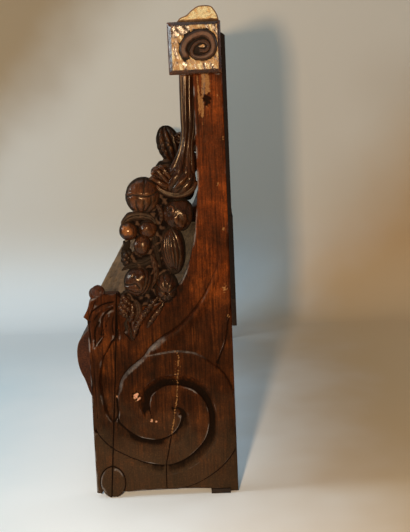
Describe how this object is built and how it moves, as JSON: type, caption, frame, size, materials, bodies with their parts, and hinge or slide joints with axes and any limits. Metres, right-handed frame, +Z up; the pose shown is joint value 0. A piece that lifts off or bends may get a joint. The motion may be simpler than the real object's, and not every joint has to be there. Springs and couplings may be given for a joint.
{
  "type": "bench",
  "caption": "Carved hall bench: plank ends with scroll volutes, fruit festoons and square capitals, a swelling apron under the seat, a boarded back and a moulded crest.",
  "frame": {"origin": "on the floor, under the middle of the whole bench", "axes": "+X along the bench to the sitter's left, the sitter faces -Y, +Z up"},
  "size_m": [1.64, 0.412, 1.2261],
  "materials": {
    "carved_walnut": "waxed, rubbed pale on the edges",
    "festoon_walnut": "waxed and polished by hands",
    "board_walnut": "waxed",
    "seat_wood": "worn, dull wax",
    "back_wood": "old dry wood",
    "pale_strip": "dry softwood",
    "hidden_wood": "unfinished softwood",
    "nail_iron": "wrought, dark"
  },
  "bodies": {
    "root": {"right_main_plank": "carved_walnut", "left_main_plank": "carved_walnut", "right_front_plank": "carved_walnut", "left_front_plank": "carved_walnut", "right_capital": "carved_walnut", "left_capital": "carved_walnut", "right_festoon": "festoon_walnut", "left_festoon": "festoon_walnut", "right_rear_foot": "hidden_wood", "left_rear_foot": "hidden_wood", "right_joint_dowels": "hidden_wood", "left_joint_dowels": "hidden_wood", "right_seat_cleat": "hidden_wood", "left_seat_cleat": "hidden_wood", "crest_rail": "board_walnut", "crest_dowels": "hidden_wood", "top_rail": "board_walnut", "apron": "board_walnut", "rear_rail": "hidden_wood", "glue_blocks": "hidden_wood", "left_bearer": "hidden_wood", "middle_bearer": "hidden_wood", "right_bearer": "hidden_wood", "seat_rear_board": "seat_wood", "seat_front_board": "seat_wood", "upper_back_board": "back_wood", "lower_back_board": "back_wood", "seat_back_strip": "pale_strip", "back_nails": "nail_iron", "seat_nails": "nail_iron"}
  },
  "joints": []
}
